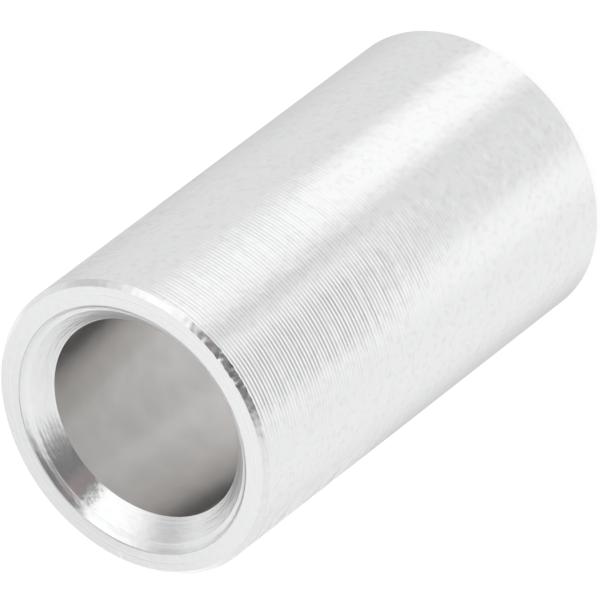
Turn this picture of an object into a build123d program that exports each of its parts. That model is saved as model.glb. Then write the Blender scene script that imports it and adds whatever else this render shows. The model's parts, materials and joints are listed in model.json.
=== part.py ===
"""A plain turned spacer sleeve: one straight tube with a countersink at each end of its bore.

All sizes are in millimetres. The sleeve stands on one end, its axis is Z, and the origin is
the centre of the circle that it stands on.
"""
from build123d import *
import math
import os

# Driving dimensions
bore_diameter = 8.2        # clears an 8 mm bolt
wall = 1.9                 # from the bore to the outside, along the plain stretch
length = 22.0              # from end face to end face
countersink_width = 0.96   # how far the countersink opens beyond the bore, at the end face
countersink_angle = 95.0   # degrees, from side to side of the cone
edge_break = 0.2           # 45 degree chamfer that takes the sharpness off each outer rim

# Sizes that follow from them
bore_radius = bore_diameter / 2
outside_radius = bore_radius + wall
countersink_radius = bore_radius + countersink_width
countersink_depth = countersink_width / math.tan(math.radians(countersink_angle / 2))


def plain_tube_section():
    """Half of the section of the sleeve as sawn and bored, with square ends, in the XZ plane."""
    corners = [
        (bore_radius, 0),
        (outside_radius, 0),
        (outside_radius, length),
        (bore_radius, length),
    ]
    return Plane.XZ * make_face(Polyline(*corners, close=True))


def plain_tube():
    """The straight tube, turned about Z."""
    return revolve(plain_tube_section(), Axis.Z)


def countersink_cutter():
    """The cone that opens the bore at the lower end, turned about Z."""
    corners = [
        (0, 0),
        (countersink_radius, 0),
        (bore_radius, countersink_depth),
        (0, countersink_depth),
    ]
    return revolve(Plane.XZ * make_face(Polyline(*corners, close=True)), Axis.Z)


def countersunk(tube):
    """Open the bore with the same cone at both ends."""
    lower = countersink_cutter()
    upper = lower.mirror(Plane.XY.offset(length / 2))
    return tube - lower - upper


def outer_rims(sleeve):
    """The two outer circles, one round each end face."""
    return sleeve.edges().filter_by(GeomType.CIRCLE).group_by(SortBy.RADIUS)[-1]


def spacer_sleeve():
    """The whole sleeve: tube, countersinks and broken outer rims."""
    sleeve = countersunk(plain_tube())
    return chamfer(outer_rims(sleeve), edge_break)


os.makedirs("parts", exist_ok=True)
export_step(spacer_sleeve(), "parts/spacer_sleeve.step")
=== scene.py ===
"""A bright turned spacer sleeve, standing on its end in a white light tent.

The sleeve is one closed turned shell. Its half section is drawn as a chain of extruded points,
spun about the axis, and then roughened where the tool left a burr. Sections are drawn in
millimetres; everything that reaches Blender is in metres.
"""
import json
import logging
import math
import random
from dataclasses import dataclass, field
from enum import Enum
from typing import Sequence

import bpy
from mathutils import Matrix, Vector, noise


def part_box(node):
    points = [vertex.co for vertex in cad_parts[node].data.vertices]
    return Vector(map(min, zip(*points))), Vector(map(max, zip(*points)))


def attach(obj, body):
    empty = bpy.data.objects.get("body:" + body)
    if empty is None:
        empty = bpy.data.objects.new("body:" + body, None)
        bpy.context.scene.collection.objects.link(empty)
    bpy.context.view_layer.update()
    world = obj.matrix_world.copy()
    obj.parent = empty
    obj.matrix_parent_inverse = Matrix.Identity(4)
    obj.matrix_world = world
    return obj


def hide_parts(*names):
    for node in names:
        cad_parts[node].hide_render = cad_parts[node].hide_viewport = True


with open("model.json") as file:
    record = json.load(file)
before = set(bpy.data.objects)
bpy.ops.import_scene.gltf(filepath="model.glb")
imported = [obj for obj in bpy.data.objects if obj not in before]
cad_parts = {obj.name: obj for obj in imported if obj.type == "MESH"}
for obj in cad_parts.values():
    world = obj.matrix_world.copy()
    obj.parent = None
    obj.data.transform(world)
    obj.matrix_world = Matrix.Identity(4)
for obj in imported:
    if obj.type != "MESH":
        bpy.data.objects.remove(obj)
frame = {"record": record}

log = logging.getLogger("spacer_sleeve")

MM = 0.001  # one millimetre, in metres
HAIR = 0.001  # a margin too small to see, in millimetres
FULL_TURN = 360.0
SLEEVE_NODE = "spacer_sleeve"

Point = tuple[float, float]
Range = tuple[float, float]
Colour = tuple[float, float, float]


# ---------------------------------------------------------------- small bench helpers


def clear_selection() -> None:
    """Leave edit mode and deselect every object."""
    if bpy.context.object and bpy.context.object.mode != "OBJECT":
        bpy.ops.object.mode_set(mode="OBJECT")
    bpy.ops.object.select_all(action="DESELECT")


def make_active(piece: bpy.types.Object) -> None:
    """Select one piece alone and make it the active object.

    Args:
        piece: The object to work on.
    """
    clear_selection()
    piece.select_set(True)
    bpy.context.view_layer.objects.active = piece


def smoothstep(low: float, high: float, value: float) -> float:
    """Ease from 0 at low to 1 at high.

    Args:
        low: Where the result leaves 0.
        high: Where the result reaches 1.
        value: The place to read.

    Returns:
        The eased share, from 0 to 1.
    """
    share = min(1.0, max(0.0, (value - low) / (high - low)))
    return share * share * (3 - 2 * share)


def radius_of(place: Vector) -> float:
    """How far a place, in metres, is from the axis, in millimetres."""
    return math.hypot(place.x, place.y) / MM


def bearing_of(place: Vector) -> float:
    """The bearing of a place round the axis, in degrees from the front towards +X."""
    return math.degrees(math.atan2(place.x, -place.y))


def turn_between(first: float, second: float) -> float:
    """The turn between two bearings, from 0 to 180 degrees."""
    return abs(math.remainder(first - second, FULL_TURN))


# ---------------------------------------------------------------- the sleeve's sizes


@dataclass(frozen=True)
class SleeveSizes:
    """The sleeve's own sizes in millimetres.

    Most are read from the frame. The cone's angle and the edge break repeat the part's own values.
    """

    outside_radius: float
    length: float
    bore_radius: float
    cone_depth: float
    cone_angle: float = 95.0
    edge_break: float = 0.2

    @classmethod
    def from_frame(cls) -> "SleeveSizes":
        """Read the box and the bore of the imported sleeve.

        Returns:
            The sizes, in millimetres.
        """
        low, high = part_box(SLEEVE_NODE)
        bore = next(m for m in frame["record"]["mounts"] if m["name"] == "bore")
        length = (high.z - low.z) / MM
        return cls(
            outside_radius=(high.x - low.x) / 2 / MM,
            length=length,
            bore_radius=bore["dims"]["r_mm"],
            cone_depth=(length - bore["dims"]["length_mm"]) / 2,
        )

    @property
    def cone_radius(self) -> float:
        """The radius at which the countersink meets the end face."""
        return self.bore_radius + self.cone_depth * math.tan(math.radians(self.cone_angle / 2))

    @property
    def flat_radius(self) -> float:
        """The radius at which the end face meets the edge break."""
        return self.outside_radius - self.edge_break


# ---------------------------------------------------------------- the half section


@dataclass
class TurnedSection:
    """The half section of the sleeve, as the tools left it. All sizes are in millimetres.

    The feed marks are faint up to where fade_span starts, as a share of the length, and have their
    full depth from where it ends. The shoulder is the band of the countersink whose rings lean out
    further; it rises and falls over two ranges, as shares of the way from the face to the bore.
    """

    sizes: SleeveSizes
    pitch: float = 0.182
    pitch_scatter: float = 0.06
    flank_angle: float = 13.5
    flank_scatter: Range = (0.62, 1.2)
    faint_share: float = 0.02
    fade_span: Range = (0.29, 0.78)
    mark_low_share: float = 0.5
    rim_mark_depth: float = 0.022
    rim_mark_low_share: float = 0.36
    rim_rows: int = 2
    face_edge: float = 0.07
    face_dish: float = 0.028
    scribed_radius: float = 5.472
    scribed_depth: float = 0.003
    scribed_floor: float = 0.01
    scribed_side: float = 0.025
    scribed_border: float = 0.035
    crack_border: float = 0.05
    crack_width: float = 0.04
    crack_depth: float = 0.05
    cone_rings: int = 24
    ring_scatter: float = 5.0
    shoulder_lean: float = 13.0
    shoulder_rise: Range = (0.1, 0.16)
    shoulder_fall: Range = (0.36, 0.28)
    bore_rows: int = 8
    seed: int = 7
    points: list[Point] = field(default_factory=list)
    crests: list[float] = field(default_factory=list)

    def draw(self) -> list[Point]:
        """Draw the whole section once round, as radius and height.

        Returns:
            The corners of the closed section.
        """
        chance = random.Random(self.seed)
        self.bottom_end()
        self.feed_marks(chance)
        self.top_rim()
        self.top_face()
        self.countersink(chance)
        self.bore()
        return self.points

    def bottom_end(self) -> None:
        """The lower countersink, the lower face and its edge break."""
        s = self.sizes
        self.points += [
            (s.bore_radius, s.cone_depth),
            (s.cone_radius, 0.0),
            ((s.cone_radius + s.flat_radius) / 2, 0.0),
            (s.flat_radius, 0.0),
            (s.outside_radius, s.edge_break),
        ]

    def mark_depth(self, height: float, chance: random.Random) -> float:
        """How deep one feed mark is; the marks fade towards the lower end.

        Args:
            height: Where the mark is, from the lower end.
            chance: The source of the scatter.

        Returns:
            The depth.
        """
        shown = smoothstep(*self.fade_span, height / self.sizes.length)
        fade = self.faint_share + (1 - self.faint_share) * shown
        angle = self.flank_angle * fade * chance.uniform(*self.flank_scatter)
        return self.pitch / 2 * math.tan(math.radians(angle))

    def feed_marks(self, chance: random.Random) -> None:
        """The row of fine scallops that the turning tool left along the outside.

        Args:
            chance: The source of the scatter.
        """
        s = self.sizes
        bottom, top = s.edge_break, s.length - s.edge_break
        count = round((top - bottom) / self.pitch)
        step = (top - bottom) / count
        crest = bottom
        for number in range(1, count + 1):
            scatter = 0.0 if number == count else chance.uniform(-0.5, 0.5) * self.pitch_scatter
            following = bottom + (number + scatter) * step
            depth = self.mark_depth(crest, chance)
            low_share = self.mark_low_share
            if number == count:
                depth, low_share = self.rim_mark_depth, self.rim_mark_low_share
            self.points.append((s.outside_radius - depth, crest + (following - crest) * low_share))
            self.points.append((s.outside_radius, following))
            self.crests.append(following)
            crest = following

    def top_rim(self) -> None:
        """The edge break of the upper rim, in rows that the burr can roughen."""
        s = self.sizes
        for row in range(1, self.rim_rows + 1):
            step = s.edge_break * row / self.rim_rows
            self.points.append((s.outside_radius - step, s.length - s.edge_break + step))

    def top_face(self) -> None:
        """The upper face: a touch dished, with one scribed ring and a crack round the countersink."""
        s = self.sizes
        for radius, depth in (
            (s.flat_radius - self.face_edge, 0.0),
            (self.scribed_radius + self.scribed_border, 0.0),
            (self.scribed_radius + self.scribed_side, 0.0),
            (self.scribed_radius + self.scribed_floor, self.scribed_depth),
            (self.scribed_radius - self.scribed_floor, self.scribed_depth),
            (self.scribed_radius - self.scribed_side, 0.0),
            (self.scribed_radius - self.scribed_border, 0.0),
            (s.cone_radius + self.crack_border, 0.0),
            (s.cone_radius + self.crack_width / 2, 0.0),
            (s.cone_radius, self.crack_depth),
        ):
            dished = self.face_dish * (s.flat_radius - radius) / (s.flat_radius - s.cone_radius)
            self.points.append((radius, s.length - depth - dished))

    def ring_angle(self, share: float, chance: random.Random) -> float:
        """How far one ring of the countersink leans from the axis.

        Args:
            share: Where the ring is, from 0 at the face to 1 at the bore.
            chance: The source of the scatter.

        Returns:
            The angle in degrees.
        """
        shoulder = smoothstep(*self.shoulder_rise, share) * smoothstep(*self.shoulder_fall, share)
        scatter = chance.uniform(-self.ring_scatter, self.ring_scatter)
        return self.sizes.cone_angle / 2 + self.shoulder_lean * shoulder + scatter

    def countersink(self, chance: random.Random) -> None:
        """The upper countersink, with the rings that the cutter left in it.

        Args:
            chance: The source of the scatter.
        """
        s = self.sizes
        rings = self.cone_rings
        outer = s.cone_radius - self.crack_width / 2
        start = s.length - self.face_dish - self.crack_width / 2
        step = (outer - s.bore_radius) / rings
        angles = [self.ring_angle((number + 0.5) / rings, chance) for number in range(rings)]
        drops = [step / math.tan(math.radians(angle)) for angle in angles]
        whole = start - (s.length - s.cone_depth)
        height = start
        self.points.append((outer, height))
        for number, drop in enumerate(drops, 1):
            height -= drop * whole / sum(drops)
            self.points.append((outer - number * step, height))

    def bore(self) -> None:
        """The plain wall of the bore, from the upper cone to the lower one."""
        s = self.sizes
        top, bottom = s.length - s.cone_depth, s.cone_depth
        for row in range(1, self.bore_rows):
            self.points.append((s.bore_radius, top + (bottom - top) * row / self.bore_rows))


# ---------------------------------------------------------------- finishes


class Bench:
    """A node tree with short ways to add and join its nodes."""

    def __init__(self, tree: bpy.types.NodeTree) -> None:
        """Empty the tree.

        Args:
            tree: The tree to fill.
        """
        self.tree = tree
        self.tree.nodes.clear()

    def node(self, kind: str, **settings: object) -> bpy.types.Node:
        """Add a node.

        Args:
            kind: The node's type name.
            settings: Attributes to set on it.

        Returns:
            The new node.
        """
        made = self.tree.nodes.new(kind)
        for name, value in settings.items():
            setattr(made, name, value)
        return made

    def join(self, value: object, socket: bpy.types.NodeSocket) -> None:
        """Link a socket to another, or set a plain value on it.

        Args:
            value: An output socket, a number or a colour.
            socket: The input that takes it.
        """
        if isinstance(value, bpy.types.NodeSocket):
            self.tree.links.new(value, socket)
        else:
            socket.default_value = value

    def math(self, operation: str, *values: object) -> bpy.types.NodeSocket:
        """Add a Math node.

        Args:
            operation: The name of the operation.
            values: Its inputs, as sockets or numbers.

        Returns:
            The result's socket.
        """
        made = self.node("ShaderNodeMath", operation=operation)
        for value, socket in zip(values, made.inputs):
            self.join(value, socket)
        return made.outputs[0]

    def ease(self, value: object, low: float, high: float, falling: bool = False) -> bpy.types.NodeSocket:
        """Ease between 0 and 1 over a range.

        Args:
            value: What to read.
            low: Where the range starts.
            high: Where the range ends.
            falling: Whether it eases from 1 down to 0.

        Returns:
            The result's socket.
        """
        made = self.node("ShaderNodeMapRange", interpolation_type="SMOOTHSTEP")
        ends = (1.0, 0.0) if falling else (0.0, 1.0)
        for name, number in zip(("From Min", "From Max", "To Min", "To Max"), (low, high, *ends)):
            made.inputs[name].default_value = number
        self.join(value, made.inputs["Value"])
        return made.outputs["Result"]

    def mix(self, share: object, first: object, second: object) -> bpy.types.NodeSocket:
        """Mix two colours.

        Args:
            share: How much of the second.
            first: The first colour.
            second: The second colour.

        Returns:
            The mixed colour's socket.
        """
        made = self.node("ShaderNodeMixRGB")
        for value, socket in zip((share, first, second), made.inputs):
            self.join(value, socket)
        return made.outputs[0]

    def split_camera(self, others: object, camera: object) -> bpy.types.NodeSocket:
        """Show one shader to the camera and another to all other rays.

        Args:
            others: The shader that all other rays meet.
            camera: The shader that the camera sees.

        Returns:
            The joined shader's socket.
        """
        seen = self.node("ShaderNodeLightPath").outputs["Is Camera Ray"]
        made = self.node("ShaderNodeMixShader")
        for value, socket in zip((seen, others, camera), made.inputs):
            self.join(value, socket)
        return made.outputs[0]


class Across(Enum):
    """The direction that crosses the tool marks of a surface."""

    RADIUS = "radius"
    NONE = "none"


@dataclass(frozen=True)
class Grain:
    """A fine relief. Frequencies are per millimetre, the depth is in millimetres.

    With Across.NONE it is an even mottle; otherwise it is drawn out round the axis. The noise is
    flat below the floor and above the ceiling, and its detail is the number of finer layers.
    """

    across: Across
    round_frequency: float
    cross_frequency: float
    depth: float
    floor: float = 0.0
    ceiling: float = 1.0
    detail: float = 2.0

    @classmethod
    def even(cls, frequency: float, depth: float = 0.0, **limits: float) -> "Grain":
        """A grain that is the same in every direction.

        Args:
            frequency: How many grains there are to a millimetre.
            depth: The depth, in millimetres.
            limits: The floor, the ceiling and the detail, where they aren't the usual ones.

        Returns:
            The grain.
        """
        return cls(Across.NONE, frequency, frequency, depth, **limits)

    def relief(self, bench: Bench) -> bpy.types.NodeSocket:
        """The relief's height.

        Args:
            bench: The material's nodes.

        Returns:
            The height's socket, from 0 to 1.
        """
        place = bench.node("ShaderNodeTexCoord").outputs["Object"]
        split = bench.node("ShaderNodeSeparateXYZ")
        bench.join(place, split.inputs[0])
        x, y, z = split.outputs
        crossing = z
        if self.across is Across.RADIUS:
            square = bench.math("ADD", bench.math("MULTIPLY", x, x), bench.math("MULTIPLY", y, y))
            crossing = bench.math("SQRT", square)
        drawn_out = bench.node("ShaderNodeCombineXYZ")
        for axis, value, frequency in (
            (0, x, self.round_frequency),
            (1, y, self.round_frequency),
            (2, crossing, self.cross_frequency),
        ):
            bench.join(bench.math("MULTIPLY", value, frequency / MM), drawn_out.inputs[axis])
        cloud = bench.node("ShaderNodeTexNoise")
        cloud.inputs["Scale"].default_value = 1.0
        cloud.inputs["Detail"].default_value = self.detail
        bench.join(drawn_out.outputs[0], cloud.inputs["Vector"])
        return bench.ease(cloud.outputs[0], self.floor, self.ceiling)


@dataclass(frozen=True)
class TurnedMetal:
    """Bare aluminium as a tool left it.

    The stretch says how far the fine grooves draw reflections out across themselves, from 0 to 1.
    The quarter turn lays that stretch across grooves that run round the axis.
    """

    name: str
    colour: Colour
    roughness: float
    stretch: float
    mottle: Grain
    mottle_strength: float
    grains: tuple[Grain, ...]
    quarter_turn: float = 0.25

    def mottled_colour(self, bench: Bench) -> bpy.types.NodeSocket:
        """The metal's colour, a little duller in cloudy patches.

        Args:
            bench: The material's nodes.

        Returns:
            The colour's socket.
        """
        dull = tuple(level * (1 - self.mottle_strength) for level in self.colour)
        return bench.mix(self.mottle.relief(bench), (*self.colour, 1.0), (*dull, 1.0))

    def make(self) -> bpy.types.Material:
        """Build the material.

        Returns:
            The new material.
        """
        material = bpy.data.materials.new(self.name)
        material.use_nodes = True
        bench = Bench(material.node_tree)
        output = bench.node("ShaderNodeOutputMaterial")
        metal = bench.node("ShaderNodeBsdfPrincipled")
        bench.join(self.mottled_colour(bench), metal.inputs["Base Color"])
        metal.inputs["Metallic"].default_value = 1.0
        metal.inputs["Roughness"].default_value = self.roughness
        metal.inputs["Anisotropic"].default_value = self.stretch
        metal.inputs["Anisotropic Rotation"].default_value = self.quarter_turn
        around = bench.node("ShaderNodeTangent", direction_type="RADIAL", axis="Z")
        bench.join(around.outputs[0], metal.inputs["Tangent"])
        below = None
        for grain in self.grains:
            bump = bench.node("ShaderNodeBump")
            bump.inputs["Distance"].default_value = grain.depth * MM
            bench.join(grain.relief(bench), bump.inputs["Height"])
            if below:
                bench.join(below, bump.inputs["Normal"])
            below = bump.outputs[0]
        if below:
            bench.join(below, metal.inputs["Normal"])
        bench.join(metal.outputs[0], output.inputs["Surface"])
        return material


class Zone(Enum):
    """The parts of the sleeve that have a finish of their own."""

    OUTSIDE = 0
    RIM = 1
    FACE = 2
    CONE = 3
    BORE = 4


BARE = (0.915, 0.918, 0.923)
WARMER_BARE = (0.93, 0.919, 0.91)
FINE_CLOUDS = Grain.even(3.5, floor=0.3, ceiling=0.7)
WIDE_CLOUDS = Grain.even(0.8, floor=0.3, ceiling=0.7)
SPECKS = Grain.even(3.6, floor=0.45, ceiling=0.8, detail=0.8)
PITS = Grain.even(3.0, depth=0.0022, floor=0.45, ceiling=0.8, detail=0.6)
BLOBS = Grain.even(2.2, depth=0.006, detail=0.6)
SWELLS = Grain.even(1.3, depth=0.01, detail=0.6)
TORN_RINGS = Grain(Across.RADIUS, round_frequency=1.4, cross_frequency=10.0, depth=0.013)
FACING_RINGS = Grain(Across.RADIUS, round_frequency=0.7, cross_frequency=12.0, depth=0.001)
FACE_RIPPLE = Grain.even(2.5, depth=0.003)
CUTTER_RINGS = Grain(Across.RADIUS, round_frequency=2.2, cross_frequency=9.0, depth=0.01)
BORE_RIPPLE = Grain.even(0.9, depth=0.004)
FINISHES = {
    Zone.OUTSIDE: TurnedMetal(
        name="turned_outside",
        colour=BARE,
        roughness=0.16,
        stretch=0.0,
        mottle=SPECKS,
        mottle_strength=0.06,
        grains=(PITS, BLOBS, SWELLS),
    ),
    Zone.RIM: TurnedMetal(
        name="burred_rim",
        colour=BARE,
        roughness=0.28,
        stretch=0.0,
        mottle=FINE_CLOUDS,
        mottle_strength=0.05,
        grains=(TORN_RINGS,),
    ),
    Zone.FACE: TurnedMetal(
        name="faced_end",
        colour=BARE,
        roughness=0.18,
        stretch=0.5,
        mottle=FINE_CLOUDS,
        mottle_strength=0.02,
        grains=(FACING_RINGS, FACE_RIPPLE),
    ),
    Zone.CONE: TurnedMetal(
        name="countersunk_cone",
        colour=BARE,
        roughness=0.24,
        stretch=1.0,
        mottle=FINE_CLOUDS,
        mottle_strength=0.02,
        grains=(CUTTER_RINGS,),
    ),
    Zone.BORE: TurnedMetal(
        name="drilled_bore",
        colour=WARMER_BARE,
        roughness=0.28,
        stretch=0.75,
        mottle=WIDE_CLOUDS,
        mottle_strength=0.07,
        grains=(BORE_RIPPLE,),
    ),
}


# ---------------------------------------------------------------- the sleeve


@dataclass
class SpacerSleeve:
    """The one piece: a turned tube with a countersink at each end. All sizes are in millimetres.

    Bearings are in degrees round the axis, from the front towards +X. What ends in reach or slack
    says how far past a border a place still counts as being on it.
    """

    sizes: SleeveSizes
    segments: int = 300
    merge_gap: float = 0.002
    smooth_angle: float = 35.0
    rim_cuts: int = 3
    burr_size: float = 0.14
    burr_height: float = 0.006
    burr_reach: float = 0.03
    burr_bearing: float = -5.0
    burr_half_width: float = 13.0
    burr_fade: float = 8.0
    front_span: Range = (90.0, 60.0)
    back_raggedness: float = 0.06
    front_raggedness: float = 0.12
    burr_raggedness: float = 0.82
    rim_reach: float = 0.06
    rim_wander: float = 0.05
    rim_ripple: float = 4.2
    ripple_bias: float = 0.3
    ripple_offset: float = 5.0
    drift: float = 0.065
    drift_reach: float = 0.06
    drift_bearing: float = -150.0
    lip_bearing: float = -124.0
    lip_half_width: float = 62.0
    lip_height: float = 0.08
    lip_steepness: float = 3.0
    nick_bearing: float = -144.0
    nick_radius: float = 5.73
    nick_size: float = 0.16
    nick_depth: float = 0.03
    end_slack: float = 0.004
    face_slack: float = 0.03
    bore_slack: float = 0.01
    crest_slack: float = 0.0005
    crest_grid: float = 0.01
    ring_slack: float = 0.01
    ring_floor: float = 0.02

    def build(self) -> bpy.types.Object:
        """Model, dress and place the sleeve.

        Returns:
            The finished piece.
        """
        section = TurnedSection(self.sizes)
        piece = self.spin(section.draw())
        self.refine_rim(piece)
        self.drift_countersink(piece)
        self.ragged_rim(piece)
        self.raise_burr(piece)
        self.dress(piece)
        self.soften(piece, section.crests)
        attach(piece, "root")
        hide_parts(SLEEVE_NODE)
        return piece

    def spin(self, section: Sequence[Point]) -> bpy.types.Object:
        """Draw the section as a closed chain and spin it once round.

        Args:
            section: The section's corners.

        Returns:
            The closed shell.
        """
        clear_selection()
        bpy.ops.mesh.primitive_plane_add(size=MM, location=(0, 0, 0))
        piece = bpy.context.object
        piece.name = "turned_sleeve"
        radius, height = section[0]
        bpy.ops.object.mode_set(mode="EDIT")
        bpy.ops.mesh.merge(type="CENTER")
        bpy.ops.transform.translate(value=(radius * MM, 0, height * MM))
        for (r0, z0), (r1, z1) in zip(section, section[1:]):
            move = ((r1 - r0) * MM, 0, (z1 - z0) * MM)
            bpy.ops.mesh.extrude_vertices_move(TRANSFORM_OT_translate={"value": move})
        bpy.ops.object.mode_set(mode="OBJECT")
        piece.data.vertices[0].select = True
        bpy.ops.object.mode_set(mode="EDIT")
        bpy.ops.mesh.edge_face_add()
        bpy.ops.mesh.select_all(action="SELECT")
        bpy.ops.mesh.spin(steps=self.segments, angle=math.tau, center=(0, 0, 0), axis=(0, 0, 1))
        bpy.ops.mesh.select_all(action="SELECT")
        bpy.ops.mesh.remove_doubles(threshold=self.merge_gap * MM)
        bpy.ops.mesh.normals_make_consistent(inside=False)
        bpy.ops.object.mode_set(mode="OBJECT")
        return piece

    def on_rim(self, place: Vector, margin: float) -> bool:
        """Whether a place is on the edge break of the upper rim.

        Args:
            place: The place, in metres.
            margin: How far outside the edge break still counts.

        Returns:
            True on the edge break.
        """
        s = self.sizes
        high_enough = place.z / MM > s.length - s.edge_break - margin
        return high_enough and radius_of(place) > s.flat_radius - margin

    def raggedness(self, place: Vector) -> float:
        """How ragged the upper rim is at a place: most in front, and hardly at all at the back.

        Args:
            place: The place, in metres.

        Returns:
            The share, from 0 to 1.
        """
        off_burr = turn_between(bearing_of(place), self.burr_bearing)
        outer = self.burr_half_width + self.burr_fade
        inner = self.burr_half_width - self.burr_fade
        worst = smoothstep(outer, inner, off_burr)
        front = smoothstep(*self.front_span, off_burr)
        return self.back_raggedness + self.front_raggedness * front + self.burr_raggedness * worst

    def refine_rim(self, piece: bpy.types.Object) -> None:
        """Cut the upper edge break finer, so that it can carry a burr.

        Args:
            piece: The sleeve.
        """
        make_active(piece)
        bpy.ops.object.mode_set(mode="EDIT")
        bpy.ops.mesh.select_all(action="DESELECT")
        bpy.ops.mesh.select_mode(type="FACE")
        bpy.ops.object.mode_set(mode="OBJECT")
        for face in piece.data.polygons:
            face.select = self.on_rim(face.center, HAIR)
        bpy.ops.object.mode_set(mode="EDIT")
        bpy.ops.mesh.subdivide(number_cuts=self.rim_cuts)
        bpy.ops.mesh.select_mode(type="VERT")
        bpy.ops.object.mode_set(mode="OBJECT")

    def drift_countersink(self, piece: bpy.types.Object) -> None:
        """Set the countersink a hair off centre, and leave the lip that its cutter pushed up.

        Args:
            piece: The sleeve.
        """
        s = self.sizes
        slope = math.tan(math.radians(s.cone_angle / 2))
        for vertex in piece.data.vertices:
            place = vertex.co
            radius = radius_of(place)
            depth = s.length - place.z / MM
            if radius > s.cone_radius + self.drift_reach or depth > s.cone_depth + HAIR:
                continue
            bearing = bearing_of(place)
            opened = min(1.0, (radius - s.bore_radius) / (s.cone_radius - s.bore_radius))
            towards = self.drift * math.cos(math.radians(bearing - self.drift_bearing))
            off_lip = turn_between(bearing, self.lip_bearing)
            lip = self.lip_height * smoothstep(self.lip_half_width, 0, off_lip)
            wanted = radius + towards * opened - lip * max(0.0, 1 - self.lip_steepness * opened)
            place.x *= wanted / radius
            place.y *= wanted / radius
            place.z -= towards / slope * (1 - opened) * MM

    def ragged_rim(self, piece: bpy.types.Object) -> None:
        """Let both borders of the upper edge break wander, and strike one nick in the face.

        Args:
            piece: The sleeve.
        """
        s = self.sizes
        bearing = math.radians(self.nick_bearing)
        nick = Vector((math.sin(bearing), -math.cos(bearing), 0)) * self.nick_radius * MM
        nick.z = s.length * MM
        second = Vector((0, 0, self.ripple_offset))
        for vertex in piece.data.vertices:
            place = vertex.co
            if (place - nick).length < self.nick_size / 2 * MM:
                place.z -= self.nick_depth * MM
            if not self.on_rim(place, 2 * HAIR):
                continue
            radius = radius_of(place)
            around = Vector((place.x, place.y, 0)) / MM * self.rim_ripple
            inner = min(1.0, (s.outside_radius - radius) / s.edge_break)
            wander = self.rim_wander * self.raggedness(place)
            inward = wander * (noise.noise(around) - self.ripple_bias) * inner
            down = wander * (noise.noise(around + second) - self.ripple_bias) * (1 - inner)
            place.x *= 1 + inward / radius
            place.y *= 1 + inward / radius
            place.z += down * MM

    def raise_burr(self, piece: bpy.types.Object) -> None:
        """Roughen the upper edge break with the burr that the facing tool left.

        Args:
            piece: The sleeve.
        """
        make_active(piece)
        burr = piece.vertex_groups.new(name="burr")
        for vertex in piece.data.vertices:
            if self.on_rim(vertex.co, self.burr_reach):
                burr.add([vertex.index], self.raggedness(vertex.co), "REPLACE")
        texture = bpy.data.textures.new("burr", "CLOUDS")
        texture.noise_scale = self.burr_size * MM
        texture.noise_depth = 2
        shake = piece.modifiers.new("burr", "DISPLACE")
        shake.texture = texture
        shake.vertex_group = burr.name
        shake.strength = self.burr_height * MM
        shake.mid_level = 1.0
        bpy.ops.object.modifier_apply(modifier=shake.name)

    def zone_of(self, centre: Vector) -> Zone:
        """Which finish a face takes.

        Args:
            centre: The face's centre, in metres.

        Returns:
            The zone.
        """
        s = self.sizes
        radius = radius_of(centre)
        from_end = min(centre.z / MM, s.length - centre.z / MM)
        if self.end_slack < from_end < s.edge_break and radius > s.flat_radius - self.rim_reach:
            return Zone.RIM
        if radius > s.flat_radius:
            return Zone.OUTSIDE
        if radius > s.cone_radius + self.face_slack or from_end < self.end_slack:
            return Zone.FACE
        if radius > s.bore_radius + self.bore_slack:
            return Zone.CONE
        return Zone.BORE

    def dress(self, piece: bpy.types.Object) -> None:
        """Give every face its finish.

        Args:
            piece: The sleeve.
        """
        for zone in Zone:
            piece.data.materials.append(FINISHES[zone].make())
        for face in piece.data.polygons:
            face.material_index = self.zone_of(face.center).value

    def kept_sharp(self, first: Vector, second: Vector, crests: set[int]) -> bool:
        """Whether an edge is a crest between feed marks, or a ring of the upper countersink.

        Args:
            first: One end of the edge, in metres.
            second: The other end, in metres.
            crests: The heights of the crests, in steps of the crest grid.

        Returns:
            True on a crest or on a ring.
        """
        s = self.sizes
        radius = radius_of(first)
        height = first.z / MM
        if radius > s.outside_radius - self.crest_slack:
            return abs(first.z - second.z) < HAIR * MM and round(height / self.crest_grid) in crests
        cone_floor = s.length - s.cone_depth + self.ring_floor
        in_cone = height > cone_floor and radius < s.cone_radius - self.ring_slack
        return in_cone and abs(radius - radius_of(second)) < 2 * HAIR

    def soften(self, piece: bpy.types.Object, crests: Sequence[float]) -> None:
        """Shade the sleeve smooth, with every crest and rim kept sharp.

        Args:
            piece: The sleeve.
            crests: The heights of the crests between feed marks.
        """
        make_active(piece)
        bpy.ops.object.shade_smooth_by_angle(angle=math.radians(self.smooth_angle))
        mesh = piece.data
        heights = {round(crest / self.crest_grid) for crest in crests}
        sharp = mesh.attributes.get("sharp_edge") or mesh.attributes.new("sharp_edge", "BOOLEAN", "EDGE")
        for edge in mesh.edges:
            first, second = (mesh.vertices[index].co for index in edge.vertices)
            if self.kept_sharp(first, second, heights):
                sharp.data[edge.index].value = True


# ---------------------------------------------------------------- the light tent


@dataclass(frozen=True)
class Span:
    """A soft-edged range of elevations, in degrees."""

    low: float
    low_blur: float
    high: float
    high_blur: float


@dataclass(frozen=True)
class Panel:
    """A soft patch of the tent, as seen from the sleeve; angles are in degrees.

    Azimuth 0 is towards the viewer and rises towards +X. The lean turns the panel's upright edges,
    in degrees of azimuth for each degree of elevation above the lean's level. Later panels cover
    the ones before them.
    """

    name: str
    azimuth: float
    half_width: float
    side_blur: float
    span: Span
    colour: Colour
    lean: float = 0.0


def grey(level: float) -> Colour:
    """A neutral colour of one level."""
    return (level, level, level)


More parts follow.
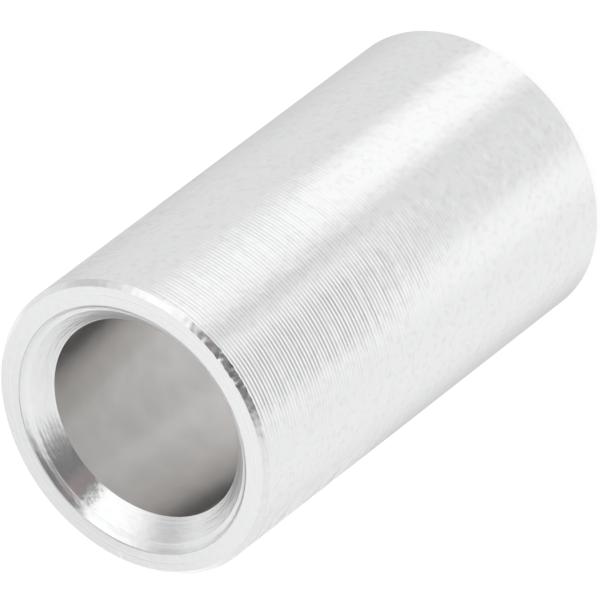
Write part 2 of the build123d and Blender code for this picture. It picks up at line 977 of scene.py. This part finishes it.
TENT_COLOUR = grey(0.8)
LEAN_LEVEL = 50.0
ALL_ROUND = 200
NADIR = -95
ZENITH = 120
PANELS = (
    Panel("upper_tent", 0, ALL_ROUND, 1, Span(2, 14, ZENITH, 10), grey(0.88)),
    Panel("ceiling", 0, ALL_ROUND, 1, Span(45, 25, ZENITH, 10), grey(0.98)),
    Panel("back_ceiling", 162, 22, 34, Span(47, 5, 74, 12), grey(0.6)),
    Panel("back_shade", 180, 42, 34, Span(NADIR, 5, -41, 3), grey(0.66)),
    Panel("left_wall", -85, 50, 28, Span(NADIR, 5, 0, 10), grey(0.915)),
    Panel("back_low_wall", 205, 26, 5, Span(-37, 4, -8, 8), grey(1.12)),
    Panel("bright_strip_low", 49, 20, 10, Span(NADIR, 5, 15, 12), grey(1.06)),
    Panel("bright_strip_high", 54, 24, 9, Span(15, 12, 80, 15), grey(1.18)),
    Panel("strip_foot", 52, 26, 8, Span(-32, 8, -8, 8), grey(0.84)),
    Panel("side_gap", 103, 13, 12, Span(4, 10, 42, 12), grey(0.55)),
    Panel("side_foot", 140, 22, 12, Span(-34, 8, -14, 6), grey(0.6)),
    Panel("side_low_wall", 156, 13, 8, Span(-22, 6, 2, 8), grey(1.04)),
    Panel("back_wall", 180, 33, 11, Span(4, 6, 36, 4), grey(1.05)),
    Panel("front_floor", -20, 30, 8, Span(NADIR, 5, -52, 6), grey(1.15)),
    Panel("front_middle", -48, 15, 10, Span(-53, 4, -36, 5), grey(1.0)),
    Panel("foot_tail", -48, 26, 18, Span(-34, 9, -12, 6), grey(0.86)),
    Panel("opening_foot", -23, 20, 7, Span(-35, 10, -12, 6), grey(0.46)),
    Panel("foot_edge", 16, 5, 4, Span(-35, 8, -14, 6), grey(0.6)),
    Panel("opening", -7.5, 38.5, 8, Span(-8, 5, 82, 8), grey(0.26), 0.3),
    Panel("opening_core", -9, 32, 8, Span(47.5, 2, 69, 7), grey(0.002), 0.3),
    Panel("warm_card", 10, 9, 3, Span(47, 3, 62, 4), (0.3, 0.18, 0.17)),
)


@dataclass(frozen=True)
class LightTent:
    """The white room round the sleeve: the world and the floor. Its sizes are in metres."""

    backdrop: float = 1.0
    floor_radius: float = 1.2
    floor_sides: int = 96
    floor_drop: float = 0.02 * MM
    floor_glow: float = 0.89
    floor_colour: float = 0.18
    floor_pale: float = 0.85

    def build(self) -> bpy.types.Object:
        """Make the world and the floor.

        Returns:
            The floor.
        """
        self.build_world()
        return self.build_floor()

    def build_world(self) -> None:
        """Paint the tent's panels round the sleeve by direction."""
        world = bpy.data.worlds.new("light_tent")
        bpy.context.scene.world = world
        world.use_nodes = True
        bench = Bench(world.node_tree)
        output = bench.node("ShaderNodeOutputWorld")
        direction = bench.node("ShaderNodeTexCoord").outputs["Generated"]
        split = bench.node("ShaderNodeSeparateXYZ")
        bench.join(direction, split.inputs[0])
        x, y, z = split.outputs
        azimuth = bench.math("DEGREES", bench.math("ARCTAN2", x, bench.math("MULTIPLY", y, -1.0)))
        elevation = bench.math("DEGREES", bench.math("ARCSINE", z))
        colour: object = (*TENT_COLOUR, 1.0)
        for panel in PANELS:
            share = self.panel_share(bench, panel, azimuth, elevation)
            colour = bench.mix(share, colour, (*panel.colour, 1.0))
        tent = bench.node("ShaderNodeBackground")
        bench.join(colour, tent.inputs["Color"])
        white = bench.node("ShaderNodeBackground")
        white.inputs["Color"].default_value = (*grey(self.backdrop), 1.0)
        shown = bench.split_camera(tent.outputs[0], white.outputs[0])
        bench.join(shown, output.inputs["Surface"])

    def panel_share(
        self, bench: Bench, panel: Panel, azimuth: bpy.types.NodeSocket, elevation: bpy.types.NodeSocket
    ) -> bpy.types.NodeSocket:
        """How much of a panel is seen in a direction.

        Args:
            bench: The world's nodes.
            panel: The panel.
            azimuth: The direction's azimuth, in degrees.
            elevation: The direction's elevation, in degrees.

        Returns:
            The share's socket, from 0 to 1.
        """
        leaning = bench.math("MULTIPLY", bench.math("SUBTRACT", elevation, LEAN_LEVEL), panel.lean)
        offset = bench.math("SUBTRACT", bench.math("SUBTRACT", azimuth, leaning), panel.azimuth)
        turned = bench.math("WRAP", offset, FULL_TURN / 2, -FULL_TURN / 2)
        aside = bench.math("ABSOLUTE", turned)
        edge, blur, span = panel.half_width, panel.side_blur, panel.span
        across = bench.ease(aside, edge - blur, edge + blur, falling=True)
        above = bench.ease(elevation, span.low - span.low_blur, span.low + span.low_blur)
        below = bench.ease(elevation, span.high - span.high_blur, span.high + span.high_blur, falling=True)
        return bench.math("MULTIPLY", across, bench.math("MULTIPLY", above, below))

    def build_floor(self) -> bpy.types.Object:
        """Lay the pale floor that keeps the sleeve's shadow.

        Returns:
            The floor.
        """
        clear_selection()
        bpy.ops.mesh.primitive_circle_add(
            vertices=self.floor_sides,
            radius=self.floor_radius,
            fill_type="NGON",
            location=(0, 0, -self.floor_drop),
        )
        floor = bpy.context.object
        floor.name = "floor"
        bpy.ops.object.transform_apply(location=True, rotation=True, scale=True)
        material = bpy.data.materials.new("pale_floor")
        material.use_nodes = True
        bench = Bench(material.node_tree)
        output = bench.node("ShaderNodeOutputMaterial")
        glow = bench.node("ShaderNodeEmission")
        glow.inputs["Strength"].default_value = self.floor_glow
        matt = bench.node("ShaderNodeBsdfDiffuse")
        matt.inputs["Color"].default_value = (*grey(self.floor_colour), 1.0)
        lit = bench.node("ShaderNodeAddShader")
        bench.join(glow.outputs[0], lit.inputs[0])
        bench.join(matt.outputs[0], lit.inputs[1])
        pale = bench.node("ShaderNodeBsdfDiffuse")
        pale.inputs["Color"].default_value = (*grey(self.floor_pale), 1.0)
        shown = bench.split_camera(pale.outputs[0], lit.outputs[0])
        bench.join(shown, output.inputs["Surface"])
        floor.data.materials.append(material)
        floor.visible_glossy = False
        return floor


# ---------------------------------------------------------------- the camera


@dataclass(frozen=True)
class Viewpoint:
    """A long lens that looks down on the sleeve, rolled so that it lies across the frame.

    Angles are in degrees, sizes in millimetres, and the shifts are from the middle of the upper end.
    """

    lens: float = 840.0
    sensor: float = 36.0
    nearest: float = 10.0
    elevation: float = 44.74
    roll: float = 127.4
    distance: float = 511.3
    right_shift: float = 6.136
    up_shift: float = 4.730

    def build(self, sizes: SleeveSizes) -> bpy.types.Object:
        """Set up the camera.

        Args:
            sizes: The sleeve's sizes.

        Returns:
            The camera.
        """
        tilt = math.radians(self.elevation)
        roll = math.radians(self.roll)
        ahead = Vector((0, math.cos(tilt), -math.sin(tilt)))
        level = Vector((1, 0, 0))
        raised = Vector((0, math.sin(tilt), math.cos(tilt)))
        right = math.cos(roll) * level - math.sin(roll) * raised
        up = math.sin(roll) * level + math.cos(roll) * raised
        top = Vector((0, 0, sizes.length))
        place = top + right * self.right_shift + up * self.up_shift - ahead * self.distance
        turn = Matrix((right, up, -ahead)).transposed().to_4x4()
        data = bpy.data.cameras.new("long_lens")
        data.lens = self.lens
        data.sensor_width = self.sensor
        data.clip_start = self.nearest * MM
        camera = bpy.data.objects.new("long_lens", data)
        bpy.context.scene.collection.objects.link(camera)
        camera.matrix_world = Matrix.Translation(place * MM) @ turn
        bpy.context.scene.camera = camera
        return camera


def main() -> None:
    """Build the sleeve, the tent and the camera, and note the sizes."""
    logging.basicConfig(level=logging.INFO, format="%(name)s: %(message)s")
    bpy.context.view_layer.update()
    sizes = SleeveSizes.from_frame()
    sleeve = SpacerSleeve(sizes).build()
    log.info("%s: %d faces", sleeve.name, len(sleeve.data.polygons))
    floor = LightTent().build()
    log.info("%s: laid in a tent of %d panels", floor.name, len(PANELS))
    camera = Viewpoint().build(sizes)
    log.info("%s: %.0f mm lens", camera.name, camera.data.lens)
    bpy.context.scene.view_settings.view_transform = "Standard"


if __name__ == "__main__":
    main()
